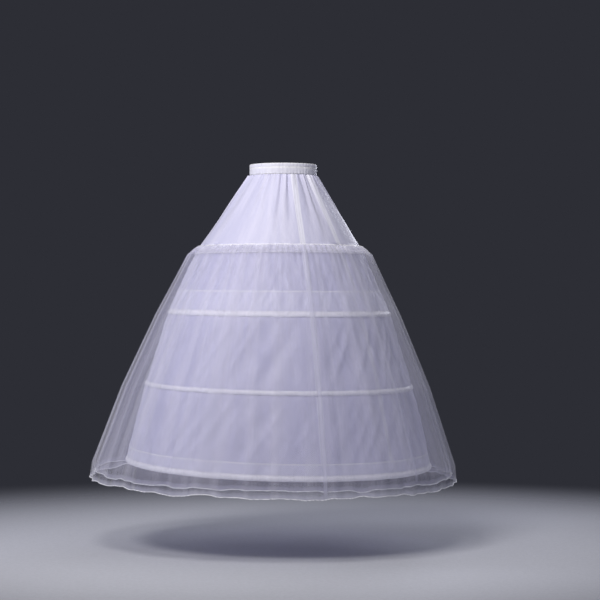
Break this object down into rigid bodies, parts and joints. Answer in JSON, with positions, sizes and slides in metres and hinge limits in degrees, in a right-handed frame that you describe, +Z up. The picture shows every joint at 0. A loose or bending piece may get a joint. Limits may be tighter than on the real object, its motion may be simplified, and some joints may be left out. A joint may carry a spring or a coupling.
{
  "type": "hooped petticoat",
  "caption": "Hooped bridal petticoat: gathered lining with flat steel hoops in sewn casings under a net overskirt with corded hems, drawn in at the waist by a drawstring.",
  "frame": {"origin": "middle of the waist opening, halfway up the waistband", "axes": "+Z up along the wearer's waist, -Y towards the wearer's front, +X towards the wearer's left"},
  "size_m": [1.159, 1.1598, 0.9893],
  "materials": {
    "lining": "plain-woven polyester taffeta, soft sheen",
    "waistband": "folded taffeta band, topstitched",
    "casing": "taffeta strip sewn over the hoop",
    "seam_tape": "woven binding tape",
    "outer_net": "soft tulle",
    "inner_net": "soft tulle",
    "net_binding": "woven tape",
    "hem_cord": "satin-wrapped hem cord",
    "hoop_steel": "flat spring steel in a white coat",
    "joiner_steel": "crimped sleeve",
    "drawstring": "braided cotton cord"
  },
  "bodies": {
    "root": {"waistband": "waistband", "lining_front_gore": "lining", "lining_left_gore": "lining", "lining_right_gore": "lining", "front_right_seam_tape": "seam_tape", "front_left_seam_tape": "seam_tape", "back_seam_tape": "seam_tape", "net_binding": "net_binding", "outer_net": "outer_net", "inner_net": "inner_net", "outer_net_hem_cord": "hem_cord", "inner_net_hem_cord": "hem_cord", "drawstring_knot": "drawstring", "drawstring_left_loop": "drawstring", "drawstring_right_loop": "drawstring", "drawstring_middle_tail": "drawstring", "drawstring_right_tail": "drawstring", "drawstring_end_knots": "drawstring", "first_hoop_casing": "casing", "first_hoop_bone": "hoop_steel", "first_hoop_joiner": "joiner_steel", "second_hoop_casing": "casing", "second_hoop_bone": "hoop_steel", "second_hoop_joiner": "joiner_steel", "third_hoop_casing": "casing", "third_hoop_bone": "hoop_steel", "third_hoop_joiner": "joiner_steel", "hem_hoop_casing": "casing", "hem_hoop_bone": "hoop_steel", "hem_hoop_joiner": "joiner_steel"}
  },
  "joints": []
}
